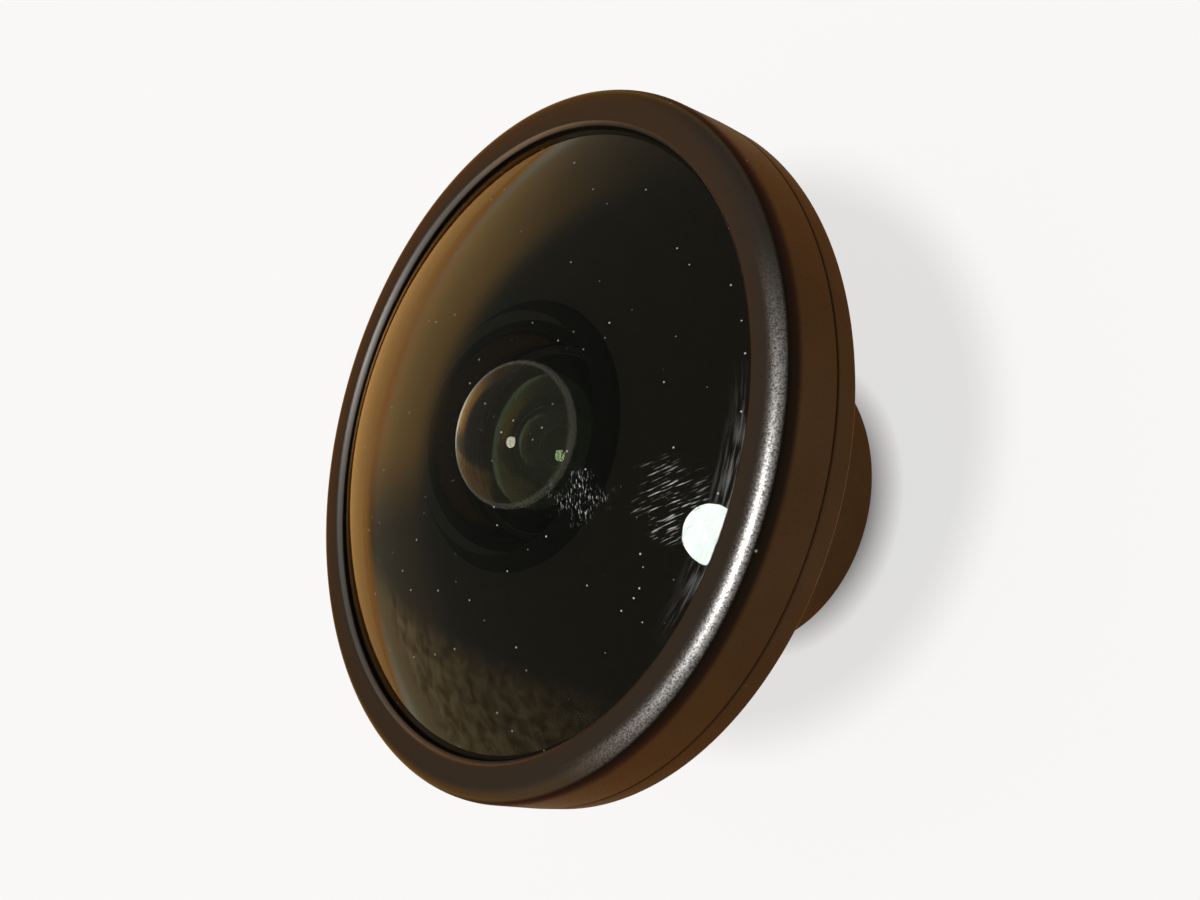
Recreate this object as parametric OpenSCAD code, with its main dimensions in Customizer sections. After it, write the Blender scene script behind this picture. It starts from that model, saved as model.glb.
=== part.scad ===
// Wide fisheye converter lens, standing on its rear thread with the front glass up.
// Lengths are millimetres. The optical axis is Z and the thread end lies at Z = 0.

/* [Front bezel] */
// Outer diameter of the ring at the parting line
ring_d = 50; // [48:0.5:54]
// Height of the bezel from the parting line to the top of its bead
bezel_h = 4.85; // [4.6:0.05:6]
// Amount by which the bezel wall draws in from the parting line to the bead
bezel_taper = 0.25; // [0.1:0.05:0.6]
// Radius of the round bead along the front edge
bead_r = 1.6; // [1.2:0.1:2.4]
// Wall between the bead side and the bezel thread
bezel_wall = 0.8; // [0.7:0.05:1.1]
// Width of the lip inside the bezel thread
lip_w = 1.95; // [1.7:0.05:2.4]
// Thickness of the lip above the slip ring
lip_t = 0.8; // [0.6:0.05:1.2]
// Height of the blunt inner edge of the lip
lip_edge = 0.25; // [0.1:0.05:0.4]
// Small bevel on both sides of the parting line
edge_break = 0.12; // [0.05:0.01:0.3]

/* [Front glass] */
// Radius of the front dome of the first glass
dome_r = 44; // [36:1:90]
// Radius of the hollow ground into the back of the first glass
hollow_r = 9.2; // [8.8:0.1:9.8]
// Depth of that hollow above the flat back
hollow_depth = 6.1; // [5.8:0.1:7]
// Gap between the dome and the underside of the lip
dome_gap = 0.1; // [0.05:0.05:0.2]
// Width from the window edge to the ledge that the slip ring sits on
ledge_step = 0.25; // [0.15:0.05:0.35]
// Thickness of the slip ring between glass and lip
slip_t = 1.05; // [0.8:0.05:1.4]
// Thickness of the rubber seal under the first glass
seal_t = 0.6; // [0.4:0.05:1]
// Width of that seal
seal_w = 2.2; // [1.5:0.1:2.3]

/* [Housing] */
// Height of the visible band behind the parting line
flange_t = 2; // [1.8:0.1:3]
// Width of the bevel along the rear edge of the band
rear_bevel_w = 0.32; // [0.1:0.02:0.6]
// Height of that bevel
rear_bevel_h = 0.45; // [0.2:0.05:0.8]
// Width of the flat rear face inside that bevel
rear_face_w = 0.9; // [0.5:0.1:1.5]
// Metal left between the seal and the rear face of the band
floor_t = 0.7; // [0.5:0.05:1]
// Wall of the threaded collar around the first glass
collar_wall = 0.8; // [0.6:0.05:0.9]
// Height of the bezel thread above the parting line
collar_h = 3.4; // [2.8:0.1:3.6]
// Wall of the conical back, measured along the axis
cone_wall = 2; // [1.5:0.1:2.6]
// Overhang of the foot of the cone over the barrel
cone_lip = 0.4; // [0.2:0.05:0.8]
// Wall of the hub around the lens cell
hub_wall = 1.35; // [1:0.05:1.8]
// Length of the rear collar inside the barrel
tail_len = 4; // [3:0.1:5]
// Wall of that rear collar
tail_wall = 0.95; // [0.8:0.05:1.2]

/* [Baffle] */
// Thickness of the blackened baffle plate
baffle_t = 0.9; // [0.6:0.05:1]
// Depth of the baffle seat below the seal seat
baffle_drop = 0.4; // [0.2:0.05:0.6]
// Width of the baffle seat beside the seal
baffle_seat_w = 0.9; // [0.6:0.1:1.5]
// Radial gap between the baffle and the lens cell
baffle_gap = 0.2; // [0.1:0.05:0.4]
// Number of light trapping grooves in the baffle
groove_count = 3; // [0:1:4]
// Width of one groove
groove_w = 0.8; // [0.4:0.1:1]
// Depth of one groove
groove_depth = 0.3; // [0.1:0.05:0.4]

/* [Rear barrel and mount] */
// Outer diameter of the rear barrel
barrel_d = 25; // [24.8:0.1:27]
// Wall of the barrel around the rear collar of the housing
barrel_wall = 1.05; // [0.8:0.05:1.5]
// Gap in the barrel behind the end of that collar
tail_gap = 0.2; // [0.1:0.05:0.4]
// Length of the rear barrel
barrel_h = 10; // [9:0.1:11]
// Bevel on the rear edge of the barrel
barrel_bevel = 0.4; // [0.2:0.05:0.8]
// Thickness of the barrel's rear wall
barrel_floor = 1.2; // [0.8:0.05:2]
// Major diameter of the mount thread
thread_d = 17; // [16:0.5:18]
// Length of the mount thread behind the barrel
thread_len = 3; // [2:0.1:4]
// Bevel on the free end of the thread
thread_bevel = 0.3; // [0.1:0.05:0.5]
// Width of the relief groove between the thread and the barrel
relief_w = 0.4; // [0.2:0.05:0.8]
// Depth of that groove
relief_depth = 0.5; // [0.2:0.05:0.7]
// Diameter of the light opening through the mount ring
mount_bore_d = 13.2; // [12.8:0.1:13.6]
// Step from the thread to the neck that runs through the rear wall of the barrel
neck_w = 0.5; // [0.3:0.05:0.7]
// Thickness of the flange that traps the mount ring
mount_flange_t = 1; // [0.7:0.05:1.5]
// Width of that flange beyond the neck
mount_flange_w = 1; // [0.7:0.05:1.2]

/* [Lens cell] */
// Wall of the lens cell around the retaining ring of the second glass
cell_wall = 0.95; // [0.7:0.05:1.4]
// Step from the thread of the lens cell in to its smooth tail
cell_step = 1.2; // [1:0.1:2]
// Length of the thread of the lens cell
cell_thread_len = 10; // [7:0.5:11]
// Width of the flange at the front of the cell
cell_flange_w = 1.4; // [1:0.1:1.6]
// Thickness of that flange
cell_flange_t = 1.4; // [1:0.1:2]
// Gap between the cell and the flat back of the first glass
cell_gap = 0.7; // [0.5:0.05:1]
// Thickness of the web that carries the aperture stop
web_t = 1; // [0.9:0.05:1.5]

/* [Second glass] */
// Radius of the front dome of the second glass
second_dome_r = 15.5; // [10:0.5:18]
// Width of the ledge under its retaining ring
second_ledge_w = 0.9; // [0.4:0.05:1.2]
// Height of the polished rim above that ledge
second_rim_h = 0.4; // [0.3:0.02:0.8]
// Height of the edge below that ledge
second_edge_h = 3.3; // [3:0.1:4]
// Radius of the hollow in its back
second_hollow_r = 5; // [4.6:0.1:5.2]
// Depth of that hollow
second_hollow_depth = 2.8; // [2.4:0.1:3.6]
// Thickness of its retaining ring
second_ring_t = 0.7; // [0.5:0.05:1]
// Width of the thread land of that ring outside the glass
second_ring_w = 0.5; // [0.4:0.05:0.7]

/* [Rear group] */
// Outer diameter of the third glass, the doublet and the rear glass
group_d = 12.9; // [12.4:0.1:13]
// Free diameter inside the spacers of this group
group_clear_d = 10.6; // [10:0.1:11]
// Thickness of the spacer between second and third glass
second_spacer_t = 1.6; // [1.2:0.1:2.4]
// Edge thickness of the third glass
third_edge_t = 1.8; // [1.4:0.1:2.4]
// Front radius of the third glass
third_front_r = 10; // [9:0.5:14]
// Back radius of the third glass
third_back_r = 20; // [18:1:40]
// Diameter of the hole in the aperture stop
stop_hole_d = 4.4; // [3:0.2:6]
// Thickness of the aperture stop
stop_t = 0.2; // [0.1:0.05:0.4]
// Thickness of the spacer behind the stop
stop_spacer_t = 1.5; // [1.3:0.1:2.2]
// Front radius of the doublet
crown_front_r = 14; // [12:0.5:20]
// Middle thickness of the front half of the doublet
crown_t = 3.4; // [3.3:0.1:4]
// Radius of the cemented face of the doublet
cement_r = 12; // [11.5:0.5:18]
// Middle thickness of the rear half of the doublet
flint_t = 1.2; // [1:0.1:2]
// Radius of the shallow hollow in the back of the doublet
flint_back_r = 25; // [20:1:40]
// Thickness of the spacer behind the doublet
doublet_spacer_t = 0.9; // [0.7:0.05:1.4]
// Edge thickness of the rear glass
rear_edge_t = 1.5; // [1.2:0.1:2]
// Front radius of the rear glass
rear_front_r = 16; // [14:0.5:30]
// Back radius of the rear glass
rear_back_r = 40; // [30:1:60]
// Thickness of the rear retaining ring
rear_ring_t = 1.2; // [0.8:0.1:1.6]
// Depth of the rear retaining ring inside the cell
rear_ring_recess = 0.2; // [0.1:0.05:0.5]

/* [Fits] */
// Radial gap in each screwed joint
thread_gap = 0.05; // [0.02:0.01:0.08]
// Radial gap around each glass
glass_gap = 0.05; // [0.02:0.01:0.08]
// Radial gap beside loose rings and plates
ring_gap = 0.1; // [0.05:0.01:0.2]
// Width of the spanner slots
slot_w = 1; // [0.6:0.1:1.4]
// Depth of the spanner slots
slot_depth = 0.4; // [0.2:0.05:0.45]

/* [Hidden] */
$fn = 96;

// Extra length of a cutting tool beyond the face that it cuts
cut = 1;

function sag(radius, half) = radius - sqrt(radius * radius - half * half);

// Heights, from the thread end to the front
seat_z = thread_len;
shoulder_z = seat_z + barrel_floor;
cell_z = shoulder_z + mount_flange_t;
rear_ring_z = cell_z + rear_ring_recess;
rear_glass_z = rear_ring_z + rear_ring_t;
doublet_spacer_z = rear_glass_z + rear_edge_t;
flint_z = doublet_spacer_z + doublet_spacer_t;
cement_z = flint_z + flint_t;
group_clear_r = group_clear_d / 2;
crown_front_z = cement_z + crown_t - sag(crown_front_r, group_clear_r);
stop_z = crown_front_z + stop_spacer_t;
web_z = stop_z + stop_t;
third_z = web_z + web_t;
second_spacer_z = third_z + third_edge_t;
second_z = second_spacer_z + second_spacer_t;
second_ledge_z = second_z + second_edge_h;
cell_top_z = second_ledge_z + second_ring_t;
glass_back_z = cell_top_z + cell_gap;
seal_z = glass_back_z - seal_t;
flange_z = seal_z - floor_t;
part_z = flange_z + flange_t;
top_z = part_z + bezel_h;
lip_z = top_z - lip_t;
ledge_z = lip_z - slip_t;
bead_z = top_z - bead_r;
barrel_top_z = seat_z + barrel_h;
cell_flange_z = cell_top_z - cell_flange_t;
baffle_z = seal_z - baffle_drop;

// Radii, from the outside to the axis
ring_r = ring_d / 2;
bead_x = ring_r - bezel_taper - bead_r;
bezel_bore_r = ring_r - bezel_taper - bezel_wall;
collar_r = bezel_bore_r - thread_gap;
recess_r = collar_r - collar_wall;
front_glass_r = recess_r - glass_gap;
window_r = bezel_bore_r - lip_w;
ledge_r = window_r + ledge_step;
seal_r = recess_r - ring_gap;
baffle_seat_r = seal_r - seal_w - ring_gap;
pocket_r = baffle_seat_r - baffle_seat_w;
baffle_r = baffle_seat_r - ring_gap;
barrel_r = barrel_d / 2;
barrel_bore_r = barrel_r - barrel_wall;
tail_r = barrel_bore_r - thread_gap;
hub_bore_r = tail_r - tail_wall;
cell_r = hub_bore_r - thread_gap;
cell_tail_r = cell_r - cell_step;
cell_flange_r = cell_r + cell_flange_w;
hub_seat_r = cell_flange_r + thread_gap;
hub_r = hub_seat_r + hub_wall;
baffle_bore_r = cell_flange_r + baffle_gap;
thread_r = thread_d / 2;
neck_r = thread_r + neck_w;
mount_flange_r = neck_r + mount_flange_w;
mount_bore_r = mount_bore_d / 2;
second_ring_r = cell_r - cell_wall - thread_gap;
second_r = second_ring_r - second_ring_w;
second_clear_r = second_r - second_ledge_w;
group_r = group_d / 2;
group_bore_r = group_r + glass_gap;

// Conical back of the housing, which ends a little wider than the barrel
cone_top_r = ring_r - rear_bevel_w - rear_face_w;
cone_foot_r = barrel_r + cone_lip;
cone_slope = (flange_z - barrel_top_z) / (cone_top_r - cone_foot_r);
function cone_at(r) = barrel_top_z + (r - cone_foot_r) * cone_slope;

// Pocket behind the baffle, which follows the cone one wall above it
pocket_deep_r = (hub_r + pocket_r) / 2;

// Baffle grooves, spread over the plate
groove_pitch = (baffle_r - baffle_bore_r) / (groove_count + 1);

metal = "#2b211a";
black = "#161412";
rubber = "#1d1d1d";
nylon = "#24221f";
glass = [0.72, 0.84, 0.80, 0.45];

// Plain ring between two heights
module ring(inner, outer, low, high) {
    difference() {
        translate([0, 0, low])
            cylinder(r = outer, h = high - low);
        translate([0, 0, low - cut])
            cylinder(r = inner, h = high - low + 2 * cut);
    }
}

// Glass disc with a dome of the given radius on its upper face
module domed_disc(outer, low, high, clear, dome) {
    translate([0, 0, low])
        cylinder(r = outer, h = high - low);
    intersection() {
        translate([0, 0, low])
            cylinder(r = clear, h = high - low + dome);
        translate([0, 0, high + sag(dome, clear) - dome])
            sphere(r = dome);
    }
}

// Dome that bulges down from a face
module belly(high, face, clear, radius) {
    intersection() {
        translate([0, 0, face - radius])
            cylinder(r = clear, h = high - face + radius);
        translate([0, 0, face - sag(radius, clear) + radius])
            sphere(r = radius);
    }
}

// Two spanner slots across a ring, cut down from the given height
module spanner_slots(reach, low) {
    translate([-reach - cut, -slot_w / 2, low])
        cube([2 * (reach + cut), slot_w, slot_depth + cut]);
}

// Turned ring with a bead, screwed over the collar of the housing
module front_bezel() {
    color(metal)
        difference() {
            rotate_extrude() {
                polygon([
                    [window_r, part_z],
                    [ring_r - edge_break, part_z],
                    [ring_r, part_z + edge_break],
                    [ring_r - bezel_taper, bead_z],
                    [bead_x, bead_z],
                    [bead_x, top_z],
                    [window_r, lip_z + lip_edge]
                ]);
                intersection() {
                    translate([bead_x, bead_z])
                        circle(r = bead_r);
                    translate([bead_x, bead_z])
                        square(bead_r);
                }
            }
            translate([0, 0, part_z - cut])
                cylinder(r = bezel_bore_r, h = lip_z - part_z + cut);
        }
}

// Nylon ring that lets the bezel turn on the glass
module slip_ring() {
    color(nylon)
        ring(ledge_r + glass_gap, front_glass_r, ledge_z, lip_z);
}

// First glass, a dome with a deep hollow in its back
module front_element() {
    rim_z = lip_z - dome_gap;
    color(glass)
        difference() {
            union() {
                translate([0, 0, glass_back_z])
                    cylinder(r = front_glass_r, h = ledge_z - glass_back_z);
                intersection() {
                    translate([0, 0, glass_back_z])
                        cylinder(r = ledge_r, h = dome_r);
                    translate([0, 0, rim_z + sag(dome_r, window_r) - dome_r])
                        sphere(r = dome_r);
                }
            }
            translate([0, 0, glass_back_z + hollow_depth - hollow_r])
                sphere(r = hollow_r);
        }
}

// Rubber seal between the first glass and the housing
module front_seal() {
    color(rubber)
        ring(seal_r - seal_w, seal_r, seal_z, glass_back_z);
}

// Turned housing with the visible band, the conical back and the hub for the lens cell
module main_housing() {
    tail_z = barrel_top_z - tail_len;
    color(metal)
        rotate_extrude()
            polygon([
                [recess_r, part_z + collar_h],
                [collar_r, part_z + collar_h],
                [collar_r, part_z],
                [ring_r - edge_break, part_z],
                [ring_r, part_z - edge_break],
                [ring_r, flange_z + rear_bevel_h],
                [ring_r - rear_bevel_w, flange_z],
                [cone_top_r, flange_z],
                [cone_foot_r, barrel_top_z],
                [tail_r, barrel_top_z],
                [tail_r, tail_z],
                [hub_bore_r, tail_z],
                [hub_bore_r, cell_flange_z],
                [hub_seat_r, cell_flange_z],
                [hub_seat_r, baffle_z],
                [hub_r, baffle_z],
                [hub_r, cone_at(pocket_deep_r) + cone_wall],
                [pocket_deep_r, cone_at(pocket_deep_r) + cone_wall],
                [pocket_r, cone_at(pocket_r) + cone_wall],
                [pocket_r, baffle_z],
                [baffle_seat_r, baffle_z],
                [baffle_seat_r, seal_z],
                [recess_r, seal_z]
            ]);
}

// Blackened plate with light trapping grooves, seen through the first glass
module front_baffle() {
    top = baffle_z + baffle_t;
    color(black)
        difference() {
            ring(baffle_bore_r, baffle_r, baffle_z, top);
            for (i = [1 : 1 : groove_count])
                ring(
                    baffle_bore_r + i * groove_pitch - groove_w / 2,
                    baffle_bore_r + i * groove_pitch + groove_w / 2,
                    top - groove_depth,
                    top + cut
                );
        }
}

// Tube that carries every glass behind the first one
module lens_cell() {
    bore = group_bore_r;
    color(black)
        difference() {
            rotate_extrude()
                polygon([
                    [bore, cell_z],
                    [cell_tail_r, cell_z],
                    [cell_tail_r, cell_flange_z - cell_thread_len],
                    [cell_r, cell_flange_z - cell_thread_len],
                    [cell_r, cell_flange_z],
                    [cell_flange_r, cell_flange_z],
                    [cell_flange_r, cell_top_z],
                    [second_ring_r + thread_gap, cell_top_z],
                    [second_ring_r + thread_gap, second_ledge_z],
                    [second_r + glass_gap, second_ledge_z],
                    [second_r + glass_gap, second_z],
                    [bore, second_z],
                    [bore, third_z],
                    [group_clear_r, third_z],
                    [group_clear_r, web_z],
                    [bore, web_z]
                ]);
            spanner_slots(cell_flange_r, cell_top_z - slot_depth);
        }
}

// Threaded ring that holds the second glass
module second_retainer() {
    color(black)
        difference() {
            ring(second_clear_r + glass_gap, second_ring_r, second_ledge_z, cell_top_z);
            rotate([0, 0, 90])
                spanner_slots(second_ring_r, cell_top_z - slot_depth);
        }
}

// Second glass, with a hollow in its back
module second_element() {
    rim_z = second_ledge_z + second_rim_h;
    color(glass)
        difference() {
            union() {
                translate([0, 0, second_z])
                    cylinder(r = second_r, h = second_edge_h);
                domed_disc(second_clear_r, second_z, rim_z, second_clear_r, second_dome_r);
            }
            translate([0, 0, second_z + second_hollow_depth - second_hollow_r])
                sphere(r = second_hollow_r);
        }
}

// Spacer between second and third glass
module second_spacer() {
    color(black)
        ring(group_clear_r, group_r, second_spacer_z, second_z);
}

// Third glass, curved on both faces
module third_element() {
    color(glass) {
        domed_disc(group_r, third_z, second_spacer_z, group_clear_r, third_front_r);
        belly(second_spacer_z, third_z, group_clear_r, third_back_r);
    }
}

// Thin plate with the fixed aperture
module aperture_stop() {
    color(black)
        ring(stop_hole_d / 2, group_r, stop_z, web_z);
}

// Spacer between the stop and the doublet
module stop_spacer() {
    color(black)
        ring(group_clear_r, group_r, crown_front_z, stop_z);
}

// Front half of the cemented doublet
module doublet_crown() {
    color(glass)
        intersection() {
            domed_disc(group_r, cement_z, crown_front_z, group_clear_r, crown_front_r);
            translate([0, 0, cement_z + cement_r])
                sphere(r = cement_r);
        }
}

// Rear half of the cemented doublet
module doublet_flint() {
    rim_z = cement_z + sag(cement_r, group_r);
    color(glass)
        difference() {
            translate([0, 0, flint_z])
                cylinder(r = group_r, h = rim_z - flint_z);
            translate([0, 0, cement_z + cement_r])
                sphere(r = cement_r);
            translate([0, 0, flint_z + sag(flint_back_r, group_clear_r) - flint_back_r])
                sphere(r = flint_back_r);
        }
}

// Spacer between the doublet and the rear glass
module doublet_spacer() {
    color(black)
        ring(group_clear_r, group_r, doublet_spacer_z, flint_z);
}

// Rear glass, seen through the mount ring
module rear_element() {
    color(glass) {
        domed_disc(group_r, rear_glass_z, doublet_spacer_z, group_clear_r, rear_front_r);
        belly(doublet_spacer_z, rear_glass_z, group_clear_r, rear_back_r);
    }
}

// Threaded ring that holds the rear group, with its slots facing the mount
module rear_retainer() {
    color(black)
        difference() {
            ring(group_clear_r, group_r, rear_ring_z, rear_glass_z);
            translate([0, 0, -cut])
                spanner_slots(group_r, rear_ring_z);
        }
}

// Ring with the mount thread, trapped in the barrel by its flange
module mount_ring() {
    color(metal)
        rotate_extrude()
            polygon([
                [mount_bore_r, 0],
                [thread_r - thread_bevel, 0],
                [thread_r, thread_bevel],
                [thread_r, seat_z - relief_w],
                [thread_r - relief_depth, seat_z - relief_w],
                [thread_r - relief_depth, seat_z],
                [neck_r, seat_z],
                [neck_r, shoulder_z],
                [mount_flange_r, shoulder_z],
                [mount_flange_r, cell_z],
                [mount_bore_r, cell_z]
            ]);
}

// Smooth sleeve behind the cone, screwed on the rear collar of the housing
module rear_barrel() {
    step_z = barrel_top_z - tail_len - tail_gap;
    color(metal)
        rotate_extrude()
            polygon([
                [neck_r + ring_gap, seat_z],
                [barrel_r - barrel_bevel, seat_z],
                [barrel_r, seat_z + barrel_bevel],
                [barrel_r, barrel_top_z],
                [barrel_bore_r, barrel_top_z],
                [barrel_bore_r, step_z],
                [mount_flange_r + ring_gap, step_z],
                [mount_flange_r + ring_gap, shoulder_z],
                [neck_r + ring_gap, shoulder_z]
            ]);
}

front_bezel();
slip_ring();
front_element();
front_seal();
main_housing();
front_baffle();
lens_cell();
second_retainer();
second_element();
second_spacer();
third_element();
aperture_stop();
stop_spacer();
doublet_crown();
doublet_flint();
doublet_spacer();
rear_element();
rear_retainer();
mount_ring();
rear_barrel();
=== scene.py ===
import math

import bmesh
import bpy
from mathutils import Matrix, Vector


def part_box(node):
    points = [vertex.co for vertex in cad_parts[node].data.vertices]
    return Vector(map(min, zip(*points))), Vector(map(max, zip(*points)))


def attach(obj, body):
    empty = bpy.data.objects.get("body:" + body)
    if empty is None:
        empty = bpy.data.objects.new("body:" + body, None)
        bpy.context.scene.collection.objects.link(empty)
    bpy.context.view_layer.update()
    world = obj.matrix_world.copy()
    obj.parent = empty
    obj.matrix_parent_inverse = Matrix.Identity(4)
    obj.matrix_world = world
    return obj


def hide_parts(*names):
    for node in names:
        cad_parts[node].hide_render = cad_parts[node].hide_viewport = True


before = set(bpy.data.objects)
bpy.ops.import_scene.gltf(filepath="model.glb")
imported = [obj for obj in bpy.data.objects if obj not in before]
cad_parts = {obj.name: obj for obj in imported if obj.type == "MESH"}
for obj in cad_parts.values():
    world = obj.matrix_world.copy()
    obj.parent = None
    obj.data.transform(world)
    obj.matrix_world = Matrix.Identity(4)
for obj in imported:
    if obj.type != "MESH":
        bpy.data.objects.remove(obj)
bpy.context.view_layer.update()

# One millimetre in metres; every length below is in millimetres
MM = 0.001
# Steps round a turned piece
AROUND = 240
# Gap left between each glass and what it touches
FILM = 0.02
# Pitch of the bezel and mount threads
PITCH = 0.75
# Radii of the ring outside, of the bezel's bore and of the collar in it
RING = 25.0
BORE = 23.95
COLLAR = 23.45
# Half width of the curved faces and outer radius of the glasses in the rear group
REAR_HALF = 5.3
REAR_OUTER = 6.45


def low(node):
    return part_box(node)[0].z / MM


def high(node):
    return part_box(node)[1].z / MM


# Heights of the main faces, taken from the solids
TOP = high("front_bezel")
PART = low("front_bezel")
LIP = high("slip_ring")
LEDGE = low("slip_ring")
FLANGE = PART - 2.0
GLASS_BACK = high("front_seal")
SEAL = low("front_seal")
BAFFLE = low("front_baffle")
SEAT = low("rear_barrel")
BARREL_TOP = high("rear_barrel")
CELL_TOP = high("lens_cell")
MOUNT_TOP = high("mount_ring")
SECOND = low("second_element")
SECOND_LEDGE = low("second_retainer")
THIRD = low("second_spacer") - 1.8
CROWN_RIM = low("stop_spacer")
FLINT = low("doublet_flint")
REAR_GLASS = high("rear_retainer")


# Materials

def linear(code):
    """Turns an sRGB hex colour into linear red, green, blue and alpha."""
    parts = [int(code[i:i + 2], 16) / 255 for i in (0, 2, 4)]
    return [c / 12.92 if c <= 0.04045 else ((c + 0.055) / 1.055) ** 2.4 for c in parts] + [1.0]


def add(tree, kind, inputs=None, **attributes):
    """Adds one node, sets its plain attributes, and sets or links its inputs."""
    node = tree.nodes.new(kind)
    for name, value in attributes.items():
        setattr(node, name, value)
    for name, value in (inputs or {}).items():
        if isinstance(value, bpy.types.NodeSocket):
            tree.links.new(value, node.inputs[name])
        else:
            node.inputs[name].default_value = value
    return node


def material(name):
    """Empty material with its output node; returns the material, its tree and that node."""
    made = bpy.data.materials.new(name)
    made.use_nodes = True
    made.node_tree.nodes.clear()
    return made, made.node_tree, add(made.node_tree, "ShaderNodeOutputMaterial")


def calc(tree, operation, *values):
    """Result of a Math node on numbers or sockets."""
    return add(tree, "ShaderNodeMath", dict(enumerate(values)), operation=operation).outputs[0]


def ramp(tree, value, start, end, first=0.0, last=1.0, kind="LINEAR"):
    """Goes from the first result to the last, and no further, while the value goes from start to end."""
    return add(tree, "ShaderNodeMapRange",
               {"Value": value, "From Min": start, "From Max": end, "To Min": first, "To Max": last},
               interpolation_type=kind).outputs[0]


def smooth(tree, value, start, end, first=0.0, last=1.0):
    """Ramp with soft ends."""
    return ramp(tree, value, start, end, first, last, "SMOOTHSTEP")


def blend(tree, share, first, second):
    """Colour between two others, each a socket or a linear colour."""
    return add(tree, "ShaderNodeMix", {0: share, 6: first, 7: second}, data_type="RGBA").outputs[2]


def layer(tree, share, under, over):
    """Surface mixed from two others by the share of the second."""
    return add(tree, "ShaderNodeMixShader", {0: share, 1: under, 2: over}).outputs[0]


def noise(tree, place, size, detail, **more):
    """Outputs of a noise with a grain size in millimetres; other inputs go by name."""
    return add(tree, "ShaderNodeTexNoise", {"Vector": place, "Scale": 1 / (size * MM), "Detail": detail, **more}).outputs


def off_axis(tree, place):
    """Distance from the axis."""
    flat = add(tree, "ShaderNodeVectorMath", {0: place, 1: (1, 1, 0)}, operation="MULTIPLY").outputs[0]
    return add(tree, "ShaderNodeVectorMath", {0: flat}, operation="LENGTH").outputs["Value"]


def off_angle(tree, place, centre):
    """Angle round the axis from a centre direction, without sign; the centre is in degrees."""
    parts = add(tree, "ShaderNodeSeparateXYZ", {0: place}).outputs
    angle = calc(tree, "ARCTAN2", parts["Y"], parts["X"])
    return calc(tree, "ABSOLUTE", calc(tree, "ADD", angle, -math.radians(centre)))


def specks(tree, place, size, amount):
    """Mask of small round specks: size is the cell in millimetres, amount the share of cells that hold one."""
    cells = add(tree, "ShaderNodeTexVoronoi", {"Vector": place, "Scale": 1 / (size * MM)}).outputs
    near = ramp(tree, cells["Distance"], 0.04, 0.08, 1.0, 0.0)
    pick = add(tree, "ShaderNodeSeparateColor", {"Color": cells["Color"]}).outputs["Red"]
    return calc(tree, "MULTIPLY", near, calc(tree, "GREATER_THAN", pick, 1 - amount))


def anodised():
    """Bead-blasted aluminium, black anodised: brown-black with a fine grain; a painted dark band on the bead, and on
    its top a painted grey sheen with a painted highlight.
    """
    made, tree, out = material("black_anodised_aluminium")
    place = add(tree, "ShaderNodeTexCoord").outputs["Object"]
    height = add(tree, "ShaderNodeSeparateXYZ", {0: place}).outputs["Z"]
    radius = off_axis(tree, place)
    grain = noise(tree, place, 0.12, 2.0, Roughness=0.6)["Fac"]
    cloud = noise(tree, place, 6, 4.0)["Fac"]
    # Painted shade: the bead is darker than the wall below it, a dark reflection painted into its colour
    bead = smooth(tree, height, (TOP - 2.0) * MM, (TOP - 1.4) * MM)
    shaded = blend(tree, bead, blend(tree, cloud, linear("3b2918"), linear("4b3624")), linear("1b130c"))
    # Height less a share of the radius grows inwards over the bead, from its top, where a grey sheen is painted, to
    # the lip
    inward = calc(tree, "MULTIPLY_ADD", radius, -0.35, height)
    painted_sheen_band = smooth(tree, inward, (TOP - 9.5) * MM, (TOP - 9.15) * MM)
    lip = smooth(tree, inward, (TOP - 8.8) * MM, (TOP - 8.5) * MM)
    # Painted highlight: bright flecks on one arc of the bead's top, where the lamp's highlight falls; the painted
    # sheen is dull grey on the lip and away from that arc
    away = smooth(tree, off_angle(tree, place, -98), math.radians(20), math.radians(46))
    painted_glint = blend(tree, ramp(tree, grain, 0.36, 0.6), linear("625f5c"), linear("bcbab8"))
    crown = blend(tree, calc(tree, "MAXIMUM", lip, away), painted_glint, linear("575149"))
    # Painted highlight: a light line on the rounded inner edge of the lip
    edge = ramp(tree, radius, 22.36 * MM, 22.28 * MM)
    crown = blend(tree, edge, crown, linear("a09d9a"))
    # The painted sheen band takes the grey crest colours in place of the brown-black
    worn = blend(tree, painted_sheen_band, shaded, crown)
    colour = blend(tree, specks(tree, place, 1.3, 0.16), worn, linear("a89c8c"))
    dull = ramp(tree, grain, 0.3, 0.7, 0.46, 0.6)
    rough = add(tree, "ShaderNodeMix", {0: painted_sheen_band, 2: dull, 3: 0.4}).outputs[0]
    bump = add(tree, "ShaderNodeBump", {"Strength": 0.6, "Distance": 0.012 * MM, "Height": grain}).outputs[0]
    metal = add(tree, "ShaderNodeBsdfPrincipled", {
        "Base Color": colour, "Metallic": 1.0, "Roughness": rough, "Specular Tint": linear("dcb88c"), "Normal": bump,
        "Coat Weight": 0.05, "Coat Roughness": 0.32, "Coat Normal": bump})
    tree.links.new(metal.outputs[0], out.inputs["Surface"])
    return made


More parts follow.
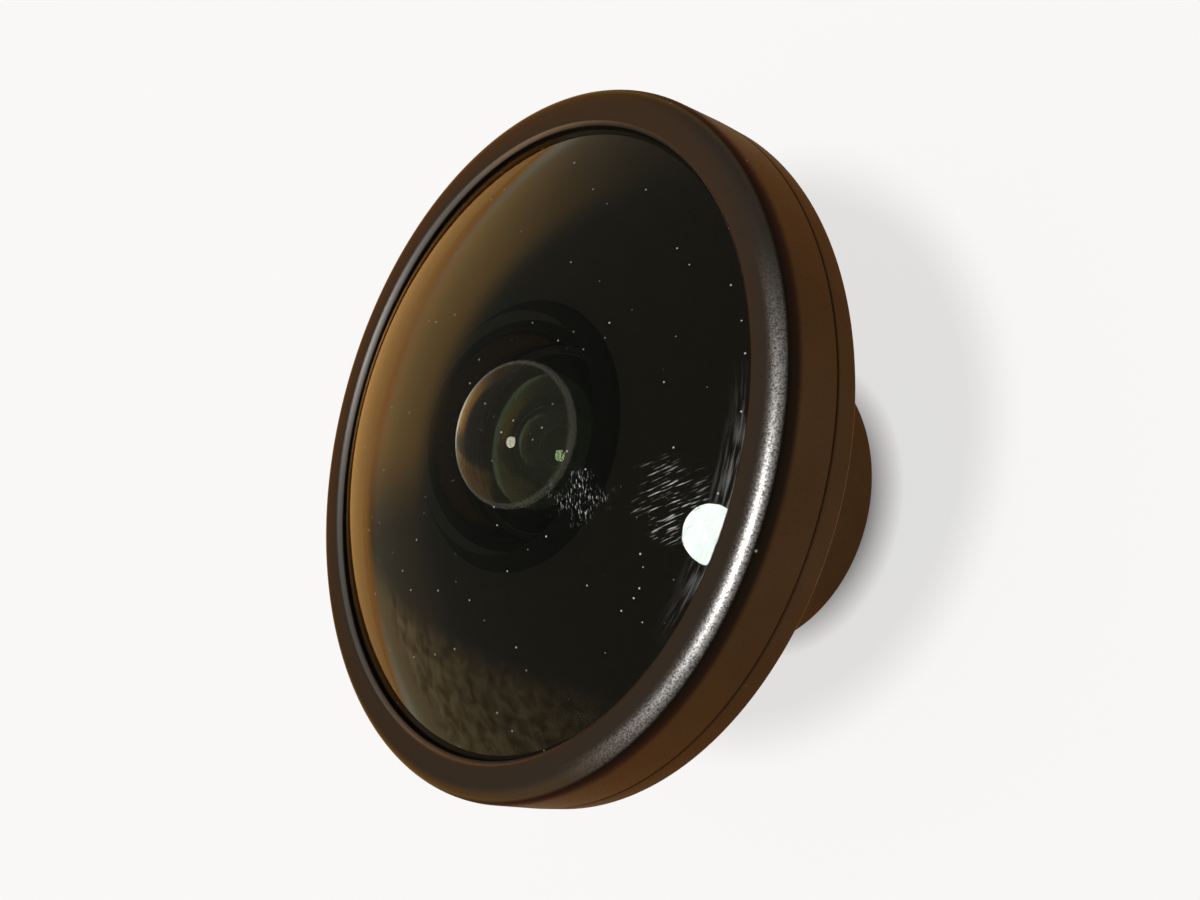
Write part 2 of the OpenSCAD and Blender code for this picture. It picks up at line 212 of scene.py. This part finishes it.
def scuff(tree, place, centre, reach, along, length, width):
    """Mask of fine streaks round a point, fading out at its ragged reach; the direction is in degrees."""
    spot = [v * MM for v in centre]
    ragged = noise(tree, place, 1.5, 2.0)["Color"]
    loose = add(tree, "ShaderNodeVectorMath", {0: ragged, 1: [4 * MM] * 3, 2: [-2 * MM] * 3},
                operation="MULTIPLY_ADD").outputs[0]
    near = add(tree, "ShaderNodeVectorMath", {0: place, 1: loose}, operation="ADD").outputs[0]
    away = add(tree, "ShaderNodeVectorMath", {0: near, 1: spot}, operation="DISTANCE").outputs["Value"]
    fade = smooth(tree, away, reach * MM, 0.4 * reach * MM)
    stretched = add(tree, "ShaderNodeMapping", {
        "Vector": place, "Location": spot, "Rotation": (0, 0, math.radians(along)),
        "Scale": (length * MM, width * MM, 20 * MM)}, vector_type="TEXTURE").outputs[0]
    streak = add(tree, "ShaderNodeTexNoise", {"Vector": stretched, "Scale": 1.0, "Detail": 2.0}).outputs["Fac"]
    return calc(tree, "MULTIPLY", fade, ramp(tree, streak, 0.57, 0.7))


def smear(tree, place):
    """Mask of wiping marks along the rim of the front glass, on one side of it."""
    radius = off_axis(tree, place)
    angle = off_angle(tree, place, -93)
    rim = smooth(tree, radius, 20.6 * MM, 21.9 * MM)
    side = smooth(tree, angle, math.radians(24), math.radians(4))
    wide = calc(tree, "MULTIPLY", angle, 21.5 * MM)
    along = add(tree, "ShaderNodeCombineXYZ", {"X": wide, "Y": radius}).outputs[0]
    drawn = add(tree, "ShaderNodeMapping", {"Vector": along, "Scale": (2.6 * MM, 0.16 * MM, 1)},
                vector_type="TEXTURE").outputs[0]
    streak = add(tree, "ShaderNodeTexNoise", {"Vector": drawn, "Scale": 1.0, "Detail": 4.0}).outputs["Fac"]
    marks = ramp(tree, streak, 0.45, 0.75, 0.0, 0.5)
    return calc(tree, "MULTIPLY", calc(tree, "MULTIPLY", rim, side), marks)


def blackened():
    """Blackened turned aluminium inside the lens: matte black with fine turning rings."""
    made, tree, out = material("blackened_turned_aluminium")
    place = add(tree, "ShaderNodeTexCoord").outputs["Object"]
    rings = calc(tree, "SINE", calc(tree, "MULTIPLY", off_axis(tree, place), 2 * math.pi / (0.12 * MM)))
    tone = blend(tree, noise(tree, place, 1.5, 4.0)["Fac"], linear("0f0d0a"), linear("181510"))
    colour = blend(tree, specks(tree, place, 0.9, 0.1), tone, linear("8a8478"))
    bump = add(tree, "ShaderNodeBump", {"Strength": 0.25, "Distance": 0.02 * MM, "Height": rings}).outputs[0]
    paint = add(tree, "ShaderNodeBsdfPrincipled",
                {"Base Color": colour, "Roughness": 0.6, "Specular IOR Level": 0.15, "Normal": bump})
    tree.links.new(paint.outputs[0], out.inputs["Surface"])
    return made


def glass(name, index, least, facing, grazing, shift, worn=()):
    """Polished optical glass: refraction under a coated gloss that changes tint as its share grows.

    Worn glass also has dust and marks, and lets lamplight straight through to the ink and metal behind it."""
    made, tree, out = material(name)
    clear = linear("f6faf6")
    through = add(tree, "ShaderNodeBsdfRefraction", {"Color": clear, "Roughness": 0.0, "IOR": index}).outputs[0]
    bare = add(tree, "ShaderNodeFresnel", {"IOR": index}).outputs[0]
    tint = blend(tree, smooth(tree, bare, *shift), linear(facing), linear(grazing))
    gloss = add(tree, "ShaderNodeBsdfGlossy", {"Color": tint, "Roughness": 0.0}).outputs[0]
    share = ramp(tree, bare, ((index - 1) / (index + 1)) ** 2, 1.0, least, 1.0)
    surface = layer(tree, share, through, gloss)
    if worn:
        place = add(tree, "ShaderNodeTexCoord").outputs["Object"]
        marks = specks(tree, place, 0.9, 0.5)
        for mark in [scuff(tree, place, *w) for w in worn] + [smear(tree, place)]:
            marks = calc(tree, "MAXIMUM", marks, mark)
        lint = add(tree, "ShaderNodeBsdfDiffuse", {"Color": linear("e4e6e6")}).outputs[0]
        surface = layer(tree, calc(tree, "MULTIPLY", marks, 0.75), surface, lint)
        paths = add(tree, "ShaderNodeLightPath").outputs
        unbent = add(tree, "ShaderNodeBsdfTransparent", {"Color": clear}).outputs[0]
        for ray in ("Is Shadow Ray", "Is Diffuse Ray"):
            surface = layer(tree, paths[ray], surface, unbent)
    tree.links.new(surface, out.inputs["Surface"])
    return made


def plain(name, dark, light, patch, rough, shine):
    """Dull material with soft patches between two colours: ink, rubber, nylon or foil."""
    made, tree, out = material(name)
    place = add(tree, "ShaderNodeTexCoord").outputs["Object"]
    tone = blend(tree, noise(tree, place, patch, 4.0)["Fac"], linear(dark), linear(light))
    body = add(tree, "ShaderNodeBsdfPrincipled",
               {"Base Color": tone, "Roughness": rough, "Specular IOR Level": shine})
    tree.links.new(body.outputs[0], out.inputs["Surface"])
    return made


ANODISED = anodised()
BLACKENED = blackened()
# Front glass: crown, coated outside with two scuffs on the dome, and bare in its hollow
CROWN_GLASS = (glass("crown_glass_front", 1.475, 0.018, "e6f2ea", "e8b067", (0.165, 0.21),
                     [((-2.5, -13.5, 31.7), 2.1, 20, 0.4, 0.1), ((-1.4, -19.0, 29.5), 2.7, -50, 1.3, 0.12)]),
               glass("crown_glass_hollow", 1.475, 0.045, "fff0dc", "ffffff", (0.1, 0.3)))
# Inner glasses: denser, with a green coating that is thinner on the face of the second glass
DENSE_GLASS = (glass("dense_glass_inner", 1.575, 0.006, "dcecc8", "ffffff", (0.06, 0.2)),) * 2
SECOND_GLASS = (glass("dense_glass_face", 1.575, 0.028, "d4ecba", "ffffff", (0.06, 0.2)), DENSE_GLASS[1])
# Black ink on the ground faces of the glasses, with no gloss of its own against the glass
EDGE_INK = plain("black_edge_ink", "13110d", "191611", 0.8, 0.8, 0.0)
# Blacker ink on the bevel of the hollow in the front glass
BEVEL_INK = plain("black_bevel_ink", "0a0908", "0f0d0a", 0.8, 0.8, 0.0)
# Moulded black nylon
NYLON = plain("black_nylon", "1b1a18", "262420", 1.2, 0.45, 0.4)
# Seal rubber
RUBBER = plain("seal_rubber", "121212", "1c1b1a", 0.6, 0.7, 0.3)
# Blackened steel foil
FOIL = plain("black_steel_foil", "0d0d0d", "161514", 0.5, 0.55, 0.3)


# Shapes

def bulge(radius, half):
    """Height of a dome over its edge at half width."""
    return radius - math.sqrt(radius ** 2 - half ** 2)


def arc(centre_r, centre_z, radius, start, end, steps):
    """Points of a circular arc in the r, z plane, by angles in degrees from the outward direction."""
    angles = [math.radians(start + (end - start) * i / steps) for i in range(steps + 1)]
    return [(centre_r + radius * math.cos(a), centre_z + radius * math.sin(a)) for a in angles]


def cap(radius, apex, half, steps):
    """Points of a dome from its edge at half width up to the axis; a negative radius curves down from the apex."""
    turn = math.asin(half / abs(radius))
    points = []
    for i in range(steps + 1):
        a = turn * (1 - i / steps)
        points.append((abs(radius) * math.sin(a), apex - radius * (1 - math.cos(a))))
    return points


def eased(points, size, steps=3):
    """Rounds each corner of a closed outline by its own third value or the given size, less beside a short edge."""
    result = []
    count = len(points)
    for i in range(count):
        before, here, after = (Vector(points[(i + k) % count][:2]) for k in (-1, 0, 1))
        back, ahead = before - here, after - here
        bend = back.angle(ahead, 0)
        if bend > math.radians(165):
            result.append(tuple(here))
            continue
        own = points[i][2] if len(points[i]) > 2 else size
        cut = min(own, 0.45 * back.length, 0.45 * ahead.length)
        a, b = here + back.normalized() * cut, here + ahead.normalized() * cut
        for k in range(steps + 1):
            t = k / steps
            result.append(tuple(a * (1 - t) ** 2 + here * 2 * t * (1 - t) + b * t * t))
    return result


def spin(bm, points, closed, steps=AROUND // 4, turn=math.pi / 2, rise=0.0):
    """Turns an outline of r, z points about the axis, with a rise in millimetres over the whole turn."""
    verts = [bm.verts.new((r * MM, 0, z * MM)) for r, z in points]
    pairs = list(zip(verts, verts[1:])) + ([(verts[-1], verts[0])] if closed else [])
    edges = [bm.edges.new(p) for p in pairs]
    bmesh.ops.spin(bm, geom=verts + edges, cent=(0, 0, 0), axis=(0, 0, 1), dvec=(0, 0, rise * MM / steps),
                   angle=turn, steps=steps)


def turn_round(bm, points, closed):
    """Solid of revolution: a quarter turn, repeated three times and merged."""
    spin(bm, points, closed)
    bmesh.ops.spin(bm, geom=bm.verts[:] + bm.edges[:] + bm.faces[:], cent=(0, 0, 0), axis=(0, 0, 1), dvec=(0, 0, 0),
                   angle=1.5 * math.pi, steps=3, use_duplicate=True)
    bmesh.ops.remove_doubles(bm, verts=bm.verts, dist=1e-7)
    bmesh.ops.recalc_face_normals(bm, faces=bm.faces)


def thread(root, crest, start, end, pitch, phase):
    """Closed helical ridge from just under the root radius to the crest radius; its ends run out into the root."""
    bm = bmesh.new()
    base, tip = 0.3 * pitch, 0.07 * pitch
    sunk = root - math.copysign(0.05, crest - root)
    spin(bm, [(sunk, start - base), (crest, start - tip), (crest, start + tip), (sunk, start + base)], True,
         96, 2 * math.pi, pitch)
    one = bm.verts[:] + bm.edges[:] + bm.faces[:]
    for i in range(1, round((end - start) / pitch)):
        copy = [v for v in bmesh.ops.duplicate(bm, geom=one)["geom"] if isinstance(v, bmesh.types.BMVert)]
        bmesh.ops.translate(bm, verts=copy, vec=(0, 0, i * pitch * MM))
    bmesh.ops.remove_doubles(bm, verts=bm.verts, dist=1e-7)
    bmesh.ops.holes_fill(bm, edges=[e for e in bm.edges if e.is_boundary], sides=4)
    under = (root + sunk) / 2
    top = max(v.co.z for v in bm.verts) / MM
    for v in bm.verts:
        r, z = math.hypot(v.co.x, v.co.y) / MM, v.co.z / MM
        spare = min(z - start + base, top - z) / pitch
        if abs(r - crest) < 1e-3 and spare < 0.8:
            pull = (under + (crest - under) * max(spare - 0.3, 0) * 2) / r
            v.co.x *= pull
            v.co.y *= pull
    bmesh.ops.rotate(bm, verts=bm.verts, cent=(0, 0, 0), matrix=Matrix.Rotation(phase, 3, "Z"))
    return bm


def join(bm, other):
    """Adds another mesh to this one."""
    mesh = bpy.data.meshes.new("part")
    other.to_mesh(mesh)
    other.free()
    bm.from_mesh(mesh)
    bpy.data.meshes.remove(mesh)


def piece(name, bm, body, node, slot, *materials, sharp=14):
    """Finishes a mesh as a piece that rides on a body and stands for a node; the slot is not used."""
    mesh = bpy.data.meshes.new(name)
    bm.to_mesh(mesh)
    bm.free()
    mesh.polygons.foreach_set("use_smooth", [True] * len(mesh.polygons))
    mesh.set_sharp_from_angle(angle=math.radians(sharp))
    for m in materials:
        mesh.materials.append(m)
    obj = bpy.data.objects.new(name, mesh)
    bpy.context.scene.collection.objects.link(obj)
    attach(obj, body)
    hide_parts(node)
    return obj


def turned(name, points, ease, body, node, slot, surface, threads=()):
    """Turned ring with eased edges and, if any, helical threads."""
    bm = bmesh.new()
    turn_round(bm, eased(points, ease), True)
    for t in threads:
        join(bm, thread(*t))
    bmesh.ops.remove_doubles(bm, verts=bm.verts, dist=1e-7)
    bmesh.ops.recalc_face_normals(bm, faces=bm.faces)
    return piece(name, bm, body, node, slot, surface)


def lens(name, points, ink_from, body, node, slot, surface, bevel=None):
    """Glass turned from an open outline that starts and ends on the axis.

    Its back has ink outside a radius, and on any bevel inside it."""
    bm = bmesh.new()
    turn_round(bm, points, False)
    # Material 0 is on the front, 1 on the inked faces, 2 on the polished back and 3 on the bevel
    for f in bm.faces:
        r = math.hypot(*f.calc_center_median().xy) / MM
        if f.normal.z < 0.1 and r > ink_from:
            f.material_index = 1
        elif f.normal.z < 0:
            f.material_index = 3 if bevel and r > bevel else 2
    inks = [BEVEL_INK] if bevel else []
    return piece(name, bm, body, node, slot, surface[0], EDGE_INK, surface[1], *inks)


# Front bezel: tapered wall, round bead, flat lip with a rounded edge and a thread inside
crest = TOP - 0.3
bead = 1.15
bezel_outline = [(RING - 0.12, PART), (RING, PART + 0.12), (RING - 0.15, crest - bead)]
bezel_outline += arc(23.7, crest - bead, bead, 0, 90, 24)[1:]
bezel_outline += [(22.35, crest, 0.28), (22.1, LIP + 0.1, 0.08), (22.1, LIP), (BORE, LIP), (BORE, PART)]
turned("bezel", bezel_outline, 0.08, "bezel", "front_bezel", "black_anodised", ANODISED,
       [(BORE, 23.56, PART + 0.5, LIP - 0.6, PITCH, math.pi)])

# Slip ring between the lip and the glass
turned("slip_ring_nylon", [(22.3, LEDGE), (23.05, LEDGE), (23.05, LIP - FILM), (22.3, LIP - FILM)], 0.1,
       "bezel_carrier", "slip_ring", "black_nylon", NYLON)

# Housing: threaded collar, band, conical back, hub and rear collar
cone_foot, cone_top = (12.9, BARREL_TOP), (23.78, FLANGE)
slope = (cone_top[1] - cone_foot[1]) / (cone_top[0] - cone_foot[0])
pocket = [(r, BARREL_TOP + (r - cone_foot[0]) * slope + 2.0) for r in (16.5, 19.8)]
turned("housing", [
    (23.1, PART + 3.4), (COLLAR, PART + 3.4), (COLLAR, PART), (RING - 0.12, PART), (RING, PART - 0.12),
    (RING, FLANGE + 0.45), (RING - 0.32, FLANGE), cone_top, cone_foot, (11.4, BARREL_TOP), (11.4, BARREL_TOP - 4),
    (10.45, BARREL_TOP - 4), (10.45, CELL_TOP - 1.4), (11.85, CELL_TOP - 1.4), (11.85, BAFFLE), (13.2, BAFFLE),
    (13.2, pocket[0][1]), pocket[0], pocket[1], (19.8, BAFFLE), (20.7, BAFFLE), (20.7, SEAL), (23.1, SEAL)], 0.07,
    "lens_body", "main_housing", "black_anodised", ANODISED,
    [(COLLAR, 23.87, PART + 0.7, PART + 3.1, PITCH, 0.0)])

# Rear barrel: plain sleeve with a bevelled rear edge
turned("barrel", [
    (9.1, SEAT), (12.1, SEAT), (12.5, SEAT + 0.4), (12.5, BARREL_TOP), (11.45, BARREL_TOP), (11.45, BARREL_TOP - 4.2),
    (10.1, BARREL_TOP - 4.2), (10.1, SEAT + 1.2), (9.1, SEAT + 1.2)], 0.07,
    "lens_body", "rear_barrel", "black_anodised", ANODISED)

# Mount ring with its fine thread, relief groove, neck and flange
turned("mount", [
    (6.6, 0), (7.9, 0), (8.06, 0.16), (8.06, SEAT - 0.4), (8.0, SEAT - 0.4), (8.0, SEAT), (9.0, SEAT),
    (9.0, SEAT + 1.2), (10.0, SEAT + 1.2), (10.0, MOUNT_TOP), (6.6, MOUNT_TOP)], 0.07,
    "lens_body", "mount_ring", "black_anodised", ANODISED,
    [(8.06, 8.5, 0.35, SEAT - 0.45, PITCH, 0.0)])

# Front seal
turned("seal", [(20.8, SEAL), (23.0, SEAL), (23.0, GLASS_BACK), (20.8, GLASS_BACK)], 0.15,
       "lens_body", "front_seal", "seal_rubber", RUBBER)

# First glass: dome, ledge, ground edge, flat back and deep hollow
dome_r, hollow_r = 44, 9.2
dome_apex = LIP - 0.1 + bulge(dome_r, 22)
back = GLASS_BACK + FILM
hollow_apex = GLASS_BACK + 6.1
hollow_edge = math.sqrt(hollow_r ** 2 - (hollow_r - hollow_apex + back) ** 2)
outline = cap(dome_r, dome_apex, 22.25, 90)[::-1]
outline += [(22.25, LEDGE - FILM), (22.95, LEDGE - FILM), (23.05, LEDGE - 0.12), (23.05, back + 0.15), (22.9, back)]
outline += cap(hollow_r, hollow_apex, hollow_edge, 70)
lens("front_glass", outline, hollow_edge, "lens_body", "front_element", "front_glass", CROWN_GLASS, 7.8)

# Second glass: dome, polished rim, ledge, edge and hollow
dome_r, dome_half, hollow_r, hollow_depth = 15.5, 8.0, 5.0, 2.8
apex = SECOND_LEDGE + 0.4 + bulge(dome_r, dome_half)
hollow_edge = math.sqrt(hollow_r ** 2 - (hollow_r - hollow_depth + FILM) ** 2)
outline = cap(dome_r, apex, dome_half, 60)[::-1]
outline += [(dome_half, SECOND_LEDGE - FILM), (8.9, SECOND_LEDGE - FILM), (8.9, SECOND + FILM)]
outline += cap(hollow_r, SECOND + hollow_depth, hollow_edge, 50)
lens("second_glass", outline, 5.3, "lens_body", "second_element", "inner_glass", SECOND_GLASS)


def biconvex(name, bottom, top, front_r, back_r, node):
    """Glass of the rear group, curved on both faces, with a flat seat round each curve."""
    drop = math.copysign(bulge(abs(back_r), REAR_HALF), back_r)
    points = cap(front_r, top - FILM + bulge(front_r, REAR_HALF), REAR_HALF, 36)[::-1]
    points += [(REAR_OUTER, top - FILM), (REAR_OUTER, bottom + FILM)]
    points += cap(-back_r, bottom + FILM - drop, REAR_HALF, 36)
    lens(name, points, REAR_OUTER - 0.1, "lens_body", node, "inner_glass", DENSE_GLASS)


biconvex("third_glass", THIRD, THIRD + 1.8, 10, 20, "third_element")
biconvex("rear_glass", REAR_GLASS, REAR_GLASS + 1.5, 16, 40, "rear_element")

# Cemented doublet: the two halves share a curve
crown_r, shared_r, flint_r = 14, 12, 25
shared = cap(-shared_r, FLINT + 1.2, REAR_OUTER, 40)
outline = cap(crown_r, CROWN_RIM + bulge(crown_r, REAR_HALF), REAR_HALF, 36)[::-1]
outline += [(REAR_OUTER, CROWN_RIM - FILM)]
outline += [(r, min(z + FILM, CROWN_RIM - FILM)) for r, z in shared]
lens("crown_glass", outline, REAR_OUTER - 0.1, "lens_body", "doublet_crown", "inner_glass", DENSE_GLASS)
outline = [(r, z - FILM) for r, z in shared[::-1]] + [(REAR_OUTER, FLINT + FILM)]
outline += [(r, z + FILM) for r, z in cap(flint_r, FLINT + bulge(flint_r, REAR_HALF), REAR_HALF, 36)]
lens("flint_glass", outline, REAR_OUTER - 0.1, "lens_body", "doublet_flint", "inner_glass", DENSE_GLASS)

# Materials of the solids that are shown as they are
for node, made in (("front_baffle", BLACKENED), ("lens_cell", BLACKENED), ("second_retainer", BLACKENED),
                   ("second_spacer", BLACKENED), ("stop_spacer", BLACKENED), ("doublet_spacer", BLACKENED),
                   ("rear_retainer", BLACKENED), ("aperture_stop", FOIL)):
    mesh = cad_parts[node].data
    mesh.materials.clear()
    mesh.materials.append(made)


# Floor, light and camera

def floor():
    """Pale seamless floor; straight views and mirrors see it a little lighter than it lights the lens.

    Under the mount it doesn't glow."""
    made, tree, out = material("pale_paper")
    paths = add(tree, "ShaderNodeLightPath").outputs
    straight = calc(tree, "MAXIMUM", paths["Is Camera Ray"], paths["Is Glossy Ray"])
    ray = calc(tree, "MAXIMUM", straight, paths["Is Transmission Ray"])
    place = add(tree, "ShaderNodeTexCoord").outputs["Object"]
    dim = blend(tree, noise(tree, place, 40, 3.0)["Fac"], (0.78, 0.78, 0.78, 1), (0.8, 0.8, 0.8, 1))
    seen = blend(tree, ray, dim, (0.97, 0.97, 0.97, 1))
    paper = add(tree, "ShaderNodeBsdfDiffuse", {"Color": seen}).outputs[0]
    glow = add(tree, "ShaderNodeEmission", {"Color": (0.98, 0.98, 0.98, 1), "Strength": 1.0}).outputs[0]
    away = add(tree, "ShaderNodeVectorMath", {0: place}, operation="LENGTH").outputs["Value"]
    clear = ramp(tree, away, 9 * MM, 13 * MM, 0.0, 0.72)
    both = layer(tree, calc(tree, "MULTIPLY", ray, clear), paper, glow)
    tree.links.new(both, out.inputs["Surface"])
    bm = bmesh.new()
    bmesh.ops.create_circle(bm, cap_ends=True, segments=96, radius=2500 * MM)
    mesh = bpy.data.meshes.new("floor")
    bm.to_mesh(mesh)
    bm.free()
    mesh.materials.append(made)
    obj = bpy.data.objects.new("floor", mesh)
    obj.location.z = -0.02 * MM
    bpy.context.scene.collection.objects.link(obj)


def sun(name, elevation, azimuth, energy, width):
    """Adds a distant round lamp, by its direction and width in degrees."""
    e, a = math.radians(elevation), math.radians(azimuth)
    place = Vector((math.cos(e) * math.cos(a), math.cos(e) * math.sin(a), math.sin(e)))
    lamp = bpy.data.lights.new(name, "SUN")
    lamp.energy = energy
    lamp.angle = math.radians(width)
    obj = bpy.data.objects.new(name, lamp)
    obj.location = place
    obj.rotation_euler = place.to_track_quat("Z", "Y").to_euler()
    obj.visible_camera = False
    bpy.context.scene.collection.objects.link(obj)


def room():
    """World: what the glass and metal mirror above the floor, by direction."""
    world = bpy.data.worlds.new("soft_room")
    world.use_nodes = True
    tree = world.node_tree
    tree.nodes.clear()
    way = add(tree, "ShaderNodeTexCoord").outputs["Generated"]
    x, y, z = add(tree, "ShaderNodeSeparateXYZ", {0: way}).outputs
    # Warm wall low on the far side, weaker at both ends
    wall = smooth(tree, z, 0.56, 0.4)
    for part in (smooth(tree, y, 0.1, 0.6), smooth(tree, x, -0.27, -0.05, 0.14), smooth(tree, x, 0.8, 0.3, 0.1)):
        wall = calc(tree, "MULTIPLY", wall, part)
    # Brown cloth to one side of it, with no weave low down
    lean = add(tree, "ShaderNodeVectorMath", {0: way, 1: (-1, 0, -0.6)}, operation="DOT_PRODUCT").outputs["Value"]
    cloth = calc(tree, "MULTIPLY", smooth(tree, lean, 0.2, 0.32), smooth(tree, y, 0.05, 0.25))
    weave = add(tree, "ShaderNodeTexNoise",
                {"Vector": way, "Scale": 26.0, "Detail": 4.0, "Distortion": 0.6}).outputs["Fac"]
    weave = add(tree, "ShaderNodeMix",
                {0: smooth(tree, z, 0.14, 0.24), 2: 0.5, 3: ramp(tree, weave, 0.35, 0.65)}).outputs[0]
    folds = blend(tree, weave, (0.3, 0.19, 0.1, 1), (1.0, 0.68, 0.37, 1))
    base = blend(tree, cloth, (0.2, 0.19, 0.175, 1), folds)
    # Pale ground all round, tan on the far side except below the middle of the wall
    pale = calc(tree, "MULTIPLY", smooth(tree, x, 0.42, 0.12), wall)
    pale = calc(tree, "MAXIMUM", pale, smooth(tree, y, 0.6, 0.1))
    ground = blend(tree, pale, (0.9, 0.74, 0.56, 1), (0.97, 0.95, 0.92, 1))
    warm = blend(tree, smooth(tree, z, 0.15, 0.04), (1.12, 0.61, 0.24, 1), ground)
    hue = blend(tree, wall, base, warm)
    hue = blend(tree, smooth(tree, z, 0.11, 0.02), hue, ground)
    back = add(tree, "ShaderNodeBackground", {"Color": hue, "Strength": 1.0}).outputs[0]
    add(tree, "ShaderNodeOutputWorld", {"Surface": back})
    bpy.context.scene.world = world


floor()
# Round lamp overhead, seen in the dome as a small disc
sun("lamp", 73.6, -122.5, 2.1, 11.6)
room()

# Camera of the photo: its three directions and place come from a fit to the ring, seam and barrel
right = Vector((0.2564, -0.6203, -0.7413))
up = Vector((0.9665, 0.1601, 0.2004))
ahead = Vector((0.0056, 0.7678, -0.6406))
camera = bpy.data.cameras.new("camera")
camera.lens = 36
camera.sensor_width = 36
camera.clip_start = 5 * MM
camera.clip_end = 10000 * MM
eye = bpy.data.objects.new("camera", camera)
turn = Matrix((right, up, -ahead)).transposed().to_quaternion().to_matrix().to_4x4()
eye.matrix_world = Matrix.Translation(Vector((0, -68.1, FLANGE + 54.6)) * MM) @ turn
bpy.context.scene.collection.objects.link(eye)
bpy.context.scene.camera = eye

bpy.context.scene.view_settings.view_transform = "Standard"
